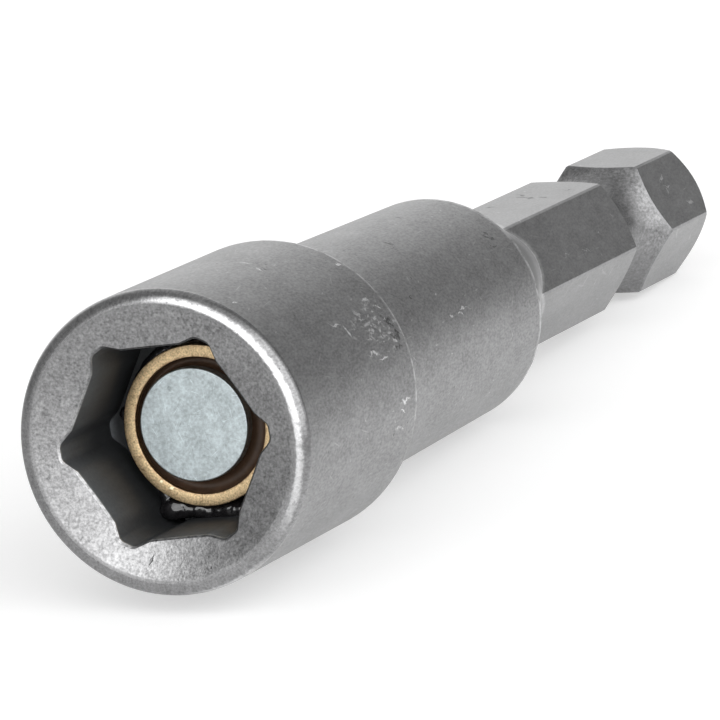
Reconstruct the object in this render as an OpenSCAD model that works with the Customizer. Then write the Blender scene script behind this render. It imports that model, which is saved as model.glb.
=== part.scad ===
// Magnetic nut setter: a socket head and barrel on a quarter inch hex power shank
// The tool lies along Y with its mouth at the origin, facing -Y, and +Z up
// Two shank flats face up and down, so two shank corners point along X

/* [Head] */
// Diameter of the head
head_d = 13.3; // [12.8:0.1:15]
// Length of the head, from the mouth to the step
head_len = 13.7; // [13:0.1:18]
// Radius of the rounded rim of the mouth
mouth_round = 0.6; // [0.3:0.05:0.65]
// Edge break on the rear corner of the head
head_edge = 0.15; // [0.05:0.05:0.3]

/* [Barrel] */
// Diameter of the barrel where it leaves the head
barrel_front_d = 11.2; // [10.9:0.1:12]
// Diameter of the barrel at its rear end
barrel_rear_d = 10.7; // [10.4:0.1:10.9]
// Length of the barrel, from the step to its rear end
barrel_len = 20.6; // [19:0.1:30]
// Edge break on the rear rim of the barrel
barrel_edge = 0.12; // [0.05:0.01:0.2]
// Radius of the fillet between the head and the barrel
step_fillet = 0.3; // [0.1:0.05:0.5]

/* [Hex socket] */
// Width across the flats of the nut that the socket drives
nut_af = 8; // [7.5:0.1:8.6]
// Play of the nut between two opposite flats
nut_play = 0.35; // [0.2:0.05:0.5]
// Depth of the hex socket
socket_depth = 6; // [5.6:0.1:7.5]
// Length of each flat, back from its sharp corner, that is relieved
relief_len = 1.05; // [0.9:0.05:1.2]
// Angle by which a relieved stretch turns away from the flat
relief_turn = 18; // [14:1:22]
// Distance of a rounded corner's tip beyond the sharp corner
tip_relief = 0.1; // [0.05:0.01:0.2]
// Radius of the roundings in each corner
corner_round = 0.35; // [0.25:0.01:0.45]
// Turn of the socket's corners from the shank's corners
socket_turn = 7; // [0:0.5:30]

/* [Magnet and sleeve] */
// Diameter of the magnet
magnet_d = 5; // [4:0.1:5.2]
// Length of the magnet
magnet_len = 8; // [6:0.1:9]
// Depth of the magnet's face below the mouth
magnet_depth = 4.25; // [4.2:0.05:5]
// Height of the magnet's face above the sleeve's face
magnet_proud = 0.25; // [0.1:0.05:0.6]
// Distance of the glued magnet from the tool's axis
magnet_off = 0.2; // [0:0.01:0.25]
// Direction of the glued magnet from the axis, up from -X
magnet_turn = 20; // [0:5:90]
// Gap between the magnet and the sleeve, filled with potting
potting_gap = 0.5; // [0.3:0.05:0.6]
// Depth of the potting below the sleeve's face
potting_recess = 0.45; // [0.2:0.05:1]
// Wall of the sleeve
sleeve_wall = 0.55; // [0.4:0.05:0.6]
// Edge break on the sleeve's face
sleeve_edge = 0.08; // [0.04:0.01:0.12]
// Gap between the sleeve and its pocket
sleeve_gap = 0.04; // [0.02:0.01:0.1]
// Radius of the adhesive bead at the foot of the sleeve
bead_r = 0.45; // [0.2:0.05:0.5]

/* [Shank] */
// Length of the whole tool
total_len = 66; // [60:0.5:80]
// Width of the hex shank across its flats
shank_af = 6.35; // [6.2:0.01:6.4]
// Diameter over the turned corners of the hex shank
shank_corner_d = 7.25; // [7.15:0.01:7.3]
// Diameter of the cone where it meets the barrel
cone_d = 9.9; // [9:0.1:10]
// Length of the cone, down to the middle of the flats
cone_len = 6.75; // [5:0.05:9]
// Distance from the middle of the groove to the end of the tool
groove_from_end = 9.5; // [9:0.1:10.5]
// Width of the groove over the turned corners
groove_w = 5.7; // [4:0.1:6]
// Diameter at the bottom of the groove
groove_d = 4.7; // [4.5:0.05:5]
// Length of the chamfer on the end of the shank
tip_len = 1; // [0.4:0.05:1.2]
// Diameter of the flat end of the shank
tip_d = 6.2; // [5:0.1:6.3]

/* [Joint in the barrel] */
// Length of the shank that is pressed into the barrel
spigot_len = 14; // [10:0.5:14]
// Gap on each flat between the shank and its seat
spigot_gap = 0.02; // [0.01:0.01:0.05]
// Length of the chamfer that leads the shank into its seat
spigot_lead = 0.6; // [0.3:0.1:1]
// Depth of the drilled chip space beyond the pressed shank
chip_len = 1.2; // [0.5:0.1:1.5]

/* [Hidden] */
// Facets of a full circle
$fn = 96;
// Full point angle of a twist drill
drill_angle = 118;
// Overrun of a cut past the face that it opens
cut = 1;
// Depth by which the cone's thin end is buried in the shank
cone_bury = 0.3;

barrel_end = head_len + barrel_len;
socket_af = nut_af + nut_play;
pocket_floor = magnet_depth + magnet_len;
sleeve_face = magnet_depth + magnet_proud;
sleeve_bore_r = magnet_d / 2 + potting_gap;
sleeve_r = sleeve_bore_r + sleeve_wall;
spigot_start = barrel_end - spigot_len;
cone_slope = (cone_d - shank_af) / 2 / cone_len;

// Radius of the sharp corners of a hexagon
function corner_r(across_flats) = across_flats / sqrt(3);

// A point at a radius and an angle
function polar(r, angle) = [r * cos(angle), r * sin(angle)];

// Turns a piece modelled up Z, mouth down, to lie along Y
module along_tool() rotate([-90, 0, 0]) children();

// A hexagonal bar with two corners along X
module hex_bar(across_flats, length) cylinder(r = corner_r(across_flats), h = length, $fn = 6);

// One corner of the socket: two relieved flats, two roundings and the arc between them
module socket_corner() {
    sharp_r = corner_r(socket_af);
    tip_r = sharp_r + tip_relief;
    lean = 60 - relief_turn;
    relief_start = [sharp_r - relief_len * cos(60), relief_len * sin(60)];
    outward = [sin(lean), cos(lean)];
    middle_angle = 90 - lean - acos((relief_start * outward - corner_round) / (tip_r - corner_round));
    middle = polar(tip_r - corner_round, middle_angle);
    flank_end = middle + corner_round * outward;
    tip_end = polar(tip_r, middle_angle);
    half = [relief_start, flank_end, middle, tip_end];
    mirrored = [for (i = [len(half) - 1:-1:0]) [half[i].x, -half[i].y]];
    polygon(concat([[0, 0]], half, mirrored));
    for (side = [-1, 1]) translate([middle.x, side * middle.y]) circle(corner_round);
    intersection() {
        circle(tip_r);
        polygon([[0, 0], polar(2 * tip_r, middle_angle), polar(2 * tip_r, -middle_angle)]);
    }
}

// The outline of the socket: a hexagon whose six corners are relieved
module socket_outline() {
    circle(corner_r(socket_af), $fn = 6);
    for (i = [0:5]) rotate(60 * i) socket_corner();
}

// Half of the head and barrel, as turned, with its rounded mouth rim and filleted step
module body_profile() {
    head_r = head_d / 2;
    front_r = barrel_front_d / 2;
    rear_r = barrel_rear_d / 2;
    polygon([
        [0, 0], [head_r - mouth_round, 0], [head_r, mouth_round],
        [head_r, head_len - head_edge], [head_r - head_edge, head_len], [front_r, head_len],
        [rear_r, barrel_end - barrel_edge], [rear_r - barrel_edge, barrel_end], [0, barrel_end]
    ]);
    translate([head_r - mouth_round, mouth_round]) circle(mouth_round);
    difference() {
        translate([front_r - step_fillet, head_len]) square([2 * step_fillet, step_fillet]);
        translate([front_r + step_fillet, head_len + step_fillet]) circle(step_fillet);
    }
}

// The drilled chip space behind the pressed shank, with its drill point towards the mouth
module chip_space() {
    drill_r = shank_af / 2;
    point_len = drill_r / tan(drill_angle / 2);
    translate([0, 0, spigot_start - chip_len]) cylinder(r = drill_r, h = chip_len + cut);
    translate([0, 0, spigot_start - chip_len - point_len]) cylinder(r1 = 0, r2 = drill_r, h = point_len);
}

module socket_body() {
    color("#8e8f91") along_tool() difference() {
        rotate_extrude() body_profile();
        translate([0, 0, -cut]) rotate(-socket_turn) linear_extrude(socket_depth + cut) socket_outline();
        cylinder(r = sleeve_r + sleeve_gap, h = pocket_floor);
        chip_space();
        translate([0, 0, spigot_start]) hex_bar(shank_af + 2 * spigot_gap, spigot_len + cut);
    }
}

// Half of the shank, as turned: the lead chamfer, the turned corners and the end chamfer
module shank_profile() {
    corner = shank_corner_d / 2;
    polygon([
        [0, spigot_start], [corner - spigot_lead, spigot_start], [corner, spigot_start + spigot_lead],
        [corner, total_len - tip_len], [tip_d / 2, total_len], [0, total_len]
    ]);
}

// The round groove that the chuck's balls drop into
module groove() {
    corner = shank_corner_d / 2;
    depth = corner - groove_d / 2;
    round_r = (pow(groove_w / 2, 2) + depth * depth) / (2 * depth);
    translate([0, 0, total_len - groove_from_end]) rotate_extrude()
        translate([groove_d / 2 + round_r, 0]) circle(round_r);
}

module hex_shank() {
    cone_tip_r = shank_af / 2 - cone_bury;
    color("#97989a") along_tool() difference() {
        union() {
            intersection() {
                translate([0, 0, spigot_start - cut]) hex_bar(shank_af, total_len - spigot_start + 2 * cut);
                rotate_extrude() shank_profile();
            }
            translate([0, 0, barrel_end])
                cylinder(r1 = cone_d / 2, r2 = cone_tip_r, h = (cone_d / 2 - cone_tip_r) / cone_slope);
        }
        groove();
    }
}

module magnet_sleeve() {
    color("#c9a45f") along_tool() rotate_extrude() polygon([
        [sleeve_bore_r, sleeve_face + sleeve_edge], [sleeve_bore_r + sleeve_edge, sleeve_face],
        [sleeve_r - sleeve_edge, sleeve_face], [sleeve_r, sleeve_face + sleeve_edge],
        [sleeve_r, pocket_floor], [sleeve_bore_r, pocket_floor]
    ]);
}

// The magnet's own solid, which sits a little off the axis
module magnet_bar(from, to) {
    translate([-magnet_off * cos(magnet_turn), -magnet_off * sin(magnet_turn), from])
        cylinder(d = magnet_d, h = to - from);
}

module magnet() {
    color("#bcc6cc") along_tool() magnet_bar(magnet_depth, pocket_floor);
}

module potting_ring() {
    potting_face = sleeve_face + potting_recess;
    color("#241a12") along_tool() difference() {
        translate([0, 0, potting_face]) cylinder(r = sleeve_bore_r, h = pocket_floor - potting_face);
        magnet_bar(potting_face - cut, pocket_floor + cut);
    }
}

module adhesive_bead() {
    color("#16171a") along_tool() rotate_extrude() intersection() {
        translate([sleeve_r, socket_depth]) circle(bead_r);
        translate([sleeve_r, socket_depth - bead_r]) square(bead_r);
    }
}

socket_body();
hex_shank();
magnet_sleeve();
magnet();
potting_ring();
adhesive_bead();
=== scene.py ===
"""Looks of a magnetic nut setter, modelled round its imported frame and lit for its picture."""

import logging
import math
from collections.abc import Callable, Iterator, Sequence
from contextlib import contextmanager
from dataclasses import dataclass
from enum import Enum

import bmesh
import bpy
from mathutils import Matrix, Vector


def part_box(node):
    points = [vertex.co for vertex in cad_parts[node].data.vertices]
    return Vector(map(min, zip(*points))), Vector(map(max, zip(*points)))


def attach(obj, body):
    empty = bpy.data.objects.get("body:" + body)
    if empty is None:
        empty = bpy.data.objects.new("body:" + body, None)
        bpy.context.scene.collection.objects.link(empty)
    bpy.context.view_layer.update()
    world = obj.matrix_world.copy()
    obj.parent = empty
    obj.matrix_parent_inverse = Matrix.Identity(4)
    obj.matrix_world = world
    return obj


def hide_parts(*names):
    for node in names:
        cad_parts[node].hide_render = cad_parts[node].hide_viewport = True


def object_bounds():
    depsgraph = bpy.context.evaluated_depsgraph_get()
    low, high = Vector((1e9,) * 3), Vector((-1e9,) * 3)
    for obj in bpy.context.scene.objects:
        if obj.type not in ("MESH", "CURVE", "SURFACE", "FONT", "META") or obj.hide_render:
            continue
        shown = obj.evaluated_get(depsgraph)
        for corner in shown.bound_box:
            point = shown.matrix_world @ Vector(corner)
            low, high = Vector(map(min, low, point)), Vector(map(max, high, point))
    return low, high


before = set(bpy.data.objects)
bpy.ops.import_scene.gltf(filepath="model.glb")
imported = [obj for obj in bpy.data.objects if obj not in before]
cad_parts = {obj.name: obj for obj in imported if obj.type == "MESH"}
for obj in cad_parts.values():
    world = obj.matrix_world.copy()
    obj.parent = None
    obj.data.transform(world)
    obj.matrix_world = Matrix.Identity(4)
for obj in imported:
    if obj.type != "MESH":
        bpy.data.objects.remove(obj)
CAD_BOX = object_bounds()

LOG = logging.getLogger("nut_setter")
BODY = "root"
# One millimetre in metres
MM = 0.001
# Edges of a ring round the axis, and of a hexagon
SIDES = 192
HEX = 6
# Turn in degrees that brings two of a hexagon's corners on to the X axis
HEX_TURN = 30
# Metres between two points that are one
MERGE_GAP = 1e-7
# Millimetres between a point and the place where it is looked for, once exactly and once roughly
NEAR = 0.001
CLOSE = 0.01
# How far grain and marks are drawn out along the tool
DRAWN_OUT = 2.2
# Depths at which noise is read where it pushes a place across and along
WOBBLE_DEPTHS = (5.0, 9.0)
# Softness of the draw that says which places have a mark
DRAW_STEP = 0.02
# Numbers of a Mix node's sockets for colours: share, first and second colour, and result
MIX_SHARE, MIX_FIRST, MIX_SECOND, MIX_RESULT = 0, 6, 7, 2

Station = tuple[float, float]
Colour = tuple[float, float, float]
Mark = tuple[Station, float, float, float]

BLACK: Colour = (0.0, 0.0, 0.0)
WHITE: Colour = (1.0, 1.0, 1.0)


@dataclass(frozen=True)
class Scatter:
    """How short straight marks are scattered at random. Sizes are millimetres.

    Size is the distance between the places where a mark may be, and share is how many of them have
    one. Length and width are half a mark's own.
    """

    size: float
    share: float
    length: float
    width: float


class Cut(Enum):
    """How one solid changes another."""

    TAKE_AWAY = "DIFFERENCE"
    JOIN = "UNION"
    KEEP_COMMON = "INTERSECT"


def from_axis(place: Vector) -> float:
    """Distance of a place from the tool's axis."""
    return math.hypot(place.x, place.z)


def corner_radius(across_flats: float) -> float:
    """Radius of a hexagon's sharp corners, from its width across the flats."""
    return across_flats / math.sqrt(3)


def outward(azimuth: float, elevation: float) -> Vector:
    """Direction from the tool to a place round it, by its angles in degrees. Azimuth 0 is in front."""
    turn, lift = math.radians(azimuth), math.radians(elevation)
    level = math.cos(lift)
    return Vector((math.sin(turn) * level, -math.cos(turn) * level, math.sin(lift)))


def put(name: str, data: bpy.types.ID) -> bpy.types.Object:
    """Puts an object with this data in the scene."""
    item = bpy.data.objects.new(name, data)
    bpy.context.scene.collection.objects.link(item)
    return item


class Workpiece:
    """One mesh on the bench, shaped with Blender's own edit-mode tools.

    Lengths are millimetres, along the tool's axis or out from it. The object stays at the origin.
    """

    def __init__(self, name: str) -> None:
        """Puts an empty mesh of this name on the bench."""
        self.item = put(name, bpy.data.meshes.new(name))

    @classmethod
    def turned(
        cls, name: str, stations: Sequence[Station], sides: int = SIDES, turn: float = 0.0
    ) -> "Workpiece":
        """A solid turned through (y, radius) stations, or a ring where the last is also the first.

        With few sides it is a bar, whose first corner stands at a turn from straight up.
        """
        work = cls(name)
        with work.editing():
            work.ring(*stations[0], sides, turn)
            if stations[0] != stations[-1]:
                bpy.ops.mesh.edge_face_add()
                work.pick_ring(*stations[0])
            work.turn_through(stations)
            work.settle()
        return work

    def hold(self) -> None:
        """Makes this piece the only selected one, and the active one."""
        bpy.ops.object.select_all(action="DESELECT")
        bpy.context.view_layer.objects.active = self.item
        self.item.select_set(True)

    @contextmanager
    def editing(self) -> Iterator[None]:
        """Edit mode on this piece alone."""
        self.hold()
        bpy.ops.object.mode_set(mode="EDIT")
        bpy.ops.mesh.select_mode(type="VERT")
        yield
        bpy.ops.object.mode_set(mode="OBJECT")

    def pick(self, wanted: Callable[[Vector], bool]) -> None:
        """Selects the points, and all between them, whose place in millimetres is wanted."""
        bpy.ops.mesh.select_all(action="DESELECT")
        shape = bmesh.from_edit_mesh(self.item.data)
        for point in shape.verts:
            point.select = wanted(point.co / MM)
        shape.select_flush(True)
        bmesh.update_edit_mesh(self.item.data)

    def pick_edges(self, shortest: float, longest: float) -> None:
        """Selects the edges whose length is between two lengths."""
        bpy.ops.mesh.select_all(action="DESELECT")
        shape = bmesh.from_edit_mesh(self.item.data)
        for edge in shape.edges:
            if shortest < edge.calc_length() / MM < longest:
                edge.select_set(True)
        bmesh.update_edit_mesh(self.item.data)

    def pick_ring(self, y: float, radius: float) -> None:
        """Selects the ring of points at one station and one distance from the axis."""
        self.pick(lambda place: abs(place.y - y) < NEAR and abs(from_axis(place) - radius) < NEAR)

    def ring(self, y: float, radius: float, sides: int = SIDES, turn: float = 0.0) -> None:
        """Adds a ring of edges round the axis and leaves it selected.

        Args:
            y: Station along the axis.
            radius: Distance of its points from the axis.
            sides: Number of its edges.
            turn: Angle of its first point from straight up, towards +X, in degrees.
        """
        bpy.ops.mesh.select_all(action="DESELECT")
        bpy.ops.mesh.primitive_circle_add(
            vertices=sides,
            radius=radius * MM,
            fill_type="NOTHING",
            location=(0, y * MM, 0),
            rotation=(math.radians(90), math.radians(turn), 0),
        )

    def turn_through(self, stations: Sequence[Station]) -> None:
        """Extrudes the selected ring, at the first (y, radius), to each of the others in turn."""
        for (y, radius), (next_y, next_radius) in zip(stations, stations[1:]):
            self.extend(next_y - y)
            self.spread(next_radius / radius)

    def extend(self, length: float) -> None:
        """Extrudes what is selected along the axis."""
        bpy.ops.mesh.extrude_region_move(TRANSFORM_OT_translate={"value": (0, length * MM, 0)})

    def spread(self, scale: float) -> None:
        """Scales what is selected, out from the axis."""
        bpy.ops.transform.resize(value=(scale, 1, scale), center_override=(0, 0, 0))

    def join_rings(self, y: float, reach: float = math.inf) -> None:
        """Fills between the two rings at one station, within a distance of the axis."""
        self.pick(lambda place: abs(place.y - y) < NEAR and from_axis(place) < reach)
        bpy.ops.mesh.bridge_edge_loops()

    def bore(self, stations: Sequence[Station], reach: float) -> None:
        """Sinks a round hole through (y, radius) stations into the floor within a distance."""
        y = stations[0][0]
        self.ring(*stations[0])
        self.join_rings(y, reach)
        self.pick_ring(*stations[0])
        self.turn_through(stations)
        bpy.ops.mesh.edge_face_add()

    def flatten(self, y: float) -> None:
        """Moves the selected points along the axis, on to one station."""
        bpy.ops.transform.resize(value=(1, 0, 1), center_override=(0, y * MM, 0))

    def settle(self) -> None:
        """Merges doubled points and points the faces outwards."""
        bpy.ops.mesh.select_all(action="SELECT")
        bpy.ops.mesh.remove_doubles(threshold=MERGE_GAP)
        bpy.ops.mesh.normals_make_consistent(inside=False)

    def shape(self, moved: Callable[[Vector], Vector]) -> None:
        """Moves every point in view to a new place, from and to millimetres."""
        shape = bmesh.from_edit_mesh(self.item.data)
        for point in shape.verts:
            if not point.hide:
                point.co = moved(point.co / MM) * MM
        bmesh.update_edit_mesh(self.item.data)

    def soften(self, width: float, steps: int, affect: str = "EDGES") -> None:
        """Rounds the selected edges, or the selected corners of an outline."""
        bpy.ops.mesh.bevel(offset=width * MM, segments=steps, profile=0.5, affect=affect)

    def round_face(self, y: float, width: float, steps: int) -> None:
        """Rounds the edges of the flat face at one station."""
        self.pick(lambda place: abs(place.y - y) < NEAR)
        bpy.ops.mesh.region_to_loop()
        self.soften(width, steps)

    def apply(self, kind: str, **settings: object) -> None:
        """Adds a modifier with these settings and applies it."""
        self.hold()
        modifier = self.item.modifiers.new(kind.title(), kind)
        for name, value in settings.items():
            setattr(modifier, name, value)
        bpy.ops.object.modifier_apply(modifier=modifier.name)

    def combine(self, other: "Workpiece", cut: Cut) -> None:
        """Changes this solid by another one, which is used up."""
        self.apply("BOOLEAN", object=other.item, operation=cut.value, solver="EXACT")
        bpy.data.objects.remove(other.item)

    def finish(self, crease: float) -> bpy.types.Object:
        """Merges doubled points, points the faces outwards and shades the piece.

        Args:
            crease: Angle in degrees from which an edge shows as a sharp one.

        Returns:
            The finished object.
        """
        with self.editing():
            self.settle()
        bpy.ops.object.shade_smooth_by_angle(angle=math.radians(crease))
        self.apply("WEIGHTED_NORMAL", keep_sharp=True, weight=50)
        return self.item


def maths_operator(operation: str, swapped: bool = False) -> Callable[..., "Signal"]:
    """An operator of Signal that adds one Math node.

    Args:
        operation: The node's operation.
        swapped: Whether the other term comes first, as where a number stands on the left.

    Returns:
        The method that works for the operator.
    """

    def operate(this: "Signal", *others: "Signal | float") -> "Signal":
        """The result of the node."""
        terms = (*others, this) if swapped else (this, *others)
        return this.nodes.maths(operation, *terms)

    return operate


class Signal:
    """A number that changes over a surface or the sky, on which operators add Math nodes."""

    def __init__(self, nodes: "Nodes", socket: bpy.types.NodeSocket) -> None:
        """Wraps a node's output."""
        self.nodes = nodes
        self.socket = socket

    __add__ = __radd__ = maths_operator("ADD")
    __sub__ = maths_operator("SUBTRACT")
    __rsub__ = maths_operator("SUBTRACT", swapped=True)
    __mul__ = __rmul__ = maths_operator("MULTIPLY")
    __truediv__ = maths_operator("DIVIDE")
    __pow__ = maths_operator("POWER")
    __abs__ = maths_operator("ABSOLUTE")
    # The greater of this and another
    most = maths_operator("MAXIMUM")

    def rise(self, low: float, high: float) -> "Signal":
        """Zero up to one value and 1 from another, smooth between. With low above high it falls."""
        node = self.nodes.add(
            "ShaderNodeMapRange",
            {"interpolation_type": "SMOOTHSTEP"},
            {"Value": self, "From Min": low, "From Max": high},
        )
        return Signal(self.nodes, node.outputs["Result"])

    def within(self, start: float, full: float, fading: float, end: float) -> "Signal":
        """1 from full to fading, and zero before start and after end."""
        return self.rise(start, full) * self.rise(end, fading)


Sheet = tuple[Signal, Signal]


def aside(sheet: Sheet, shift: float) -> Sheet:
    """The flat place slid across, so that marks are scattered on it in another way."""
    return sheet[0] + shift, sheet[1]


def mark_distance(sheet: Sheet, turning: Sheet | Station, length: float, width: float) -> Signal:
    """How far a place is out from a mark's middle, where 1 is the edge of its pointed outline.

    Args:
        sheet: The flat place, from the middle of the mark.
        turning: Cosine and sine of the mark's turn.
        length: Half its length.
        width: Half its width.
    """
    (u, v), (cosine, sine) = sheet, turning
    along, across = abs(u * cosine + v * sine), abs(v * cosine - u * sine)
    return across / width + along / length


class Nodes:
    """A node tree under way."""

    def __init__(self, tree: bpy.types.NodeTree) -> None:
        """Takes the tree that nodes are added to."""
        self.tree = tree

    def add(
        self,
        kind: str,
        settings: dict[str, object] | None = None,
        inputs: dict[str | int, object] | None = None,
    ) -> bpy.types.Node:
        """Adds a node.

        Args:
            kind: The node's type.
            settings: Its properties, which are set first.
            inputs: Values, signals or sockets for its inputs, by name or number.

        Returns:
            The node.
        """
        node = self.tree.nodes.new(kind)
        for name, value in (settings or {}).items():
            setattr(node, name, value)
        for name, value in (inputs or {}).items():
            self.feed(node.inputs[name], value)
        return node

    def feed(self, socket: bpy.types.NodeSocket, value: object) -> None:
        """Links a signal or a socket to an input, or sets a plain value on it."""
        if isinstance(value, Signal):
            self.tree.links.new(value.socket, socket)
        elif isinstance(value, bpy.types.NodeSocket):
            self.tree.links.new(value, socket)
        else:
            socket.default_value = value

    def maths(self, operation: str, *terms: "Signal | float") -> Signal:
        """A Math node on signals and numbers."""
        node = self.add("ShaderNodeMath", {"operation": operation}, dict(enumerate(terms)))
        return Signal(self, node.outputs["Value"])

    def vector(
        self, x: Signal | float, y: Signal | float, z: Signal | float = 0.0
    ) -> bpy.types.NodeSocket:
        """A place made of three numbers."""
        return self.add("ShaderNodeCombineXYZ", None, {"X": x, "Y": y, "Z": z}).outputs["Vector"]


class Surface(Nodes):
    """A material under way: its nodes, and the place on the piece in millimetres."""

    def __init__(self, name: str, metallic: float, roughness: float) -> None:
        """Starts a material.

        Args:
            name: Name of the finish.
            metallic: 1 for bare metal, 0 for resin and glue.
            roughness: Roughness where nothing else is said.
        """
        self.material = bpy.data.materials.new(name)
        self.material.use_nodes = True
        super().__init__(self.material.node_tree)
        self.shader = self.tree.nodes["Principled BSDF"]
        self.shader.inputs["Metallic"].default_value = metallic
        self.shader.inputs["Roughness"].default_value = roughness
        spot = self.add("ShaderNodeTexCoord").outputs["Object"]
        scaled = self.add("ShaderNodeVectorMath", {"operation": "SCALE"}, {0: spot, "Scale": 1 / MM})
        self.place = scaled.outputs["Vector"]
        parts = self.add("ShaderNodeSeparateXYZ", None, {"Vector": self.place}).outputs
        self.x, self.y, self.z = (Signal(self, parts[axis]) for axis in "XYZ")
        self.radius = (self.x * self.x + self.z * self.z) ** 0.5

    def around(self) -> Signal:
        """Angle round the axis in radians: 0 at the top, towards +X, with its seam at the bottom."""
        return self.maths("ARCTAN2", self.x, self.z)

    def facing(self, turn: float, low: float, high: float) -> Signal:
        """1 on one side and 0 away from it, by the cosine of the angle from a turn in degrees."""
        return self.maths("COSINE", self.around() - math.radians(turn)).rise(low, high)

    def tone(self, *parts: tuple[Signal, float], middle: float = 1.0) -> Signal:
        """A tone that soft noises make lighter and darker, each with its own strength."""
        tone = middle
        for noise, strength in parts:
            tone = tone + (noise - 0.5) * strength
        return tone

    def noise(self, size: float, detail: float = 2.0, at: bpy.types.NodeSocket | None = None) -> Signal:
        """Soft noise round 0.5.

        Args:
            size: Size of its lumps in millimetres.
            detail: Octaves of finer noise in it.
            at: The place it is read at, or none for the place on the piece.
        """
        settings = {"Vector": at or self.place, "Scale": 1 / size, "Detail": detail, "Roughness": 0.6}
        return Signal(self, self.add("ShaderNodeTexNoise", None, settings).outputs["Fac"])

    def pits(self, size: float, share: float, width: float) -> Signal:
        """Round spots scattered at random: 1 in a spot and 0 outside.

        Args:
            size: Distance between the places where a spot may be, in millimetres.
            share: Share of those places that have one.
            width: Radius of a spot, as a share of the distance.
        """
        node = self.add("ShaderNodeTexVoronoi", None, {"Vector": self.place, "Scale": 1 / size})
        chance = self.add("ShaderNodeSeparateColor", None, {"Color": node.outputs["Color"]})
        there = Signal(self, chance.outputs["Red"]).rise(share, share - DRAW_STEP)
        return Signal(self, node.outputs["Distance"]).rise(width, width * 0.5) * there

    def unrolled(self, drawn_out: float = 1.0) -> Sheet:
        """The surface unrolled round the axis: the place across it, and along it over a factor."""
        return self.around() * self.radius, self.y / drawn_out

    def wobbled(self, sheet: Sheet, size: float, reach: float) -> Sheet:
        """A flat place pushed about by noise, so that marks on it come out crooked.

        Args:
            sheet: The flat place.
            size: Size of the noise's lumps in millimetres.
            reach: How far it pushes, in millimetres.
        """
        across, along = (
            (self.noise(size, 1, self.vector(*sheet, depth)) - 0.5) * reach for depth in WOBBLE_DEPTHS
        )
        return sheet[0] + across, sheet[1] + along

    def slid(self) -> bpy.types.NodeSocket:
        """The place at which grain is read that is drawn out along the tool."""
        return self.vector(self.x, self.y / DRAWN_OUT, self.z)

    def scuffs(self, sheet: Sheet, scatter: Scatter) -> Signal:
        """Scattered marks on a flat place, each in its own direction: 1 in a mark and 0 outside."""
        spot = self.vector(*sheet)
        settings = {"voronoi_dimensions": "2D"}
        places = {"Vector": spot, "Scale": 1 / scatter.size}
        cell = self.add("ShaderNodeTexVoronoi", settings, places).outputs
        middle = self.add("ShaderNodeSeparateXYZ", None, {"Vector": cell["Position"]}).outputs
        chance = self.add("ShaderNodeSeparateColor", None, {"Color": cell["Color"]}).outputs
        turn = Signal(self, chance["Red"]) * math.pi
        turning = self.maths("COSINE", turn), self.maths("SINE", turn)
        away = sheet[0] - Signal(self, middle["X"]), sheet[1] - Signal(self, middle["Y"])
        there = Signal(self, chance["Green"]).rise(scatter.share, scatter.share - DRAW_STEP)
        return mark_distance(away, turning, scatter.length, scatter.width).rise(1.0, 0.3) * there

    def mark(self, sheet: Sheet, mark: Mark, drawn_out: float = 1.0) -> Signal:
        """One mark with pointed ends: 1 in it and 0 outside.

        Args:
            sheet: The flat place that it lies on.
            mark: Its middle on that sheet, its turn from across towards along, and half its size.
            drawn_out: How much longer it is along the tool than across it.
        """
        at, turn, length, width = mark
        turning = math.cos(math.radians(turn)), math.sin(math.radians(turn))
        away = sheet[0] - at[0], (sheet[1] - at[1]) / drawn_out
        return mark_distance(away, turning, length, width).rise(1.0, 0.5)

    def marks(self, sheet: Sheet, marks: Sequence[Mark], drawn_out: float = 1.0) -> Signal:
        """Several marks on one sheet: 1 in any of them and 0 outside."""
        signal = self.mark(sheet, marks[0], drawn_out)
        for mark in marks[1:]:
            signal = signal.most(self.mark(sheet, mark, drawn_out))
        return signal

    def colour(self, base: Colour, tone: Signal) -> bpy.types.NodeSocket:
        """A colour made lighter or darker by a signal."""
        node = self.add("ShaderNodeVectorMath", {"operation": "SCALE"}, {0: base, "Scale": tone})
        return node.outputs["Vector"]

    def blend(self, share: Signal, first: object, second: object) -> bpy.types.NodeSocket:
        """Mixes two colours, from the first at 0 to the second at 1."""
        inputs = {MIX_SHARE: share}
        for place, end in ((MIX_FIRST, first), (MIX_SECOND, second)):
            inputs[place] = end if isinstance(end, bpy.types.NodeSocket) else (*end, 1.0)
        return self.add("ShaderNodeMix", {"data_type": "RGBA"}, inputs).outputs[MIX_RESULT]

    def relief(self, height: Signal) -> None:
        """Bends the shading by a height in millimetres."""
        node = self.add("ShaderNodeBump", None, {"Height": height, "Distance": MM, "Strength": 1.0})
        self.tree.links.new(node.outputs["Normal"], self.shader.inputs["Normal"])

    def paint(
        self, colour: bpy.types.NodeSocket, roughness: Signal | None = None
    ) -> bpy.types.Material:
        """Feeds the shader and returns the material."""
        self.feed(self.shader.inputs["Base Color"], colour)
        if roughness is not None:
            self.feed(self.shader.inputs["Roughness"], roughness)
        return self.material


@dataclass(frozen=True)
class Panel:
    """A softbox, reflector or dark card round the tool. Angles are degrees, and level 1 is white."""

    azimuth: float
    elevation: float
    half_width: float
    half_height: float
    level: float
    softness: float = 12.0


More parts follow.
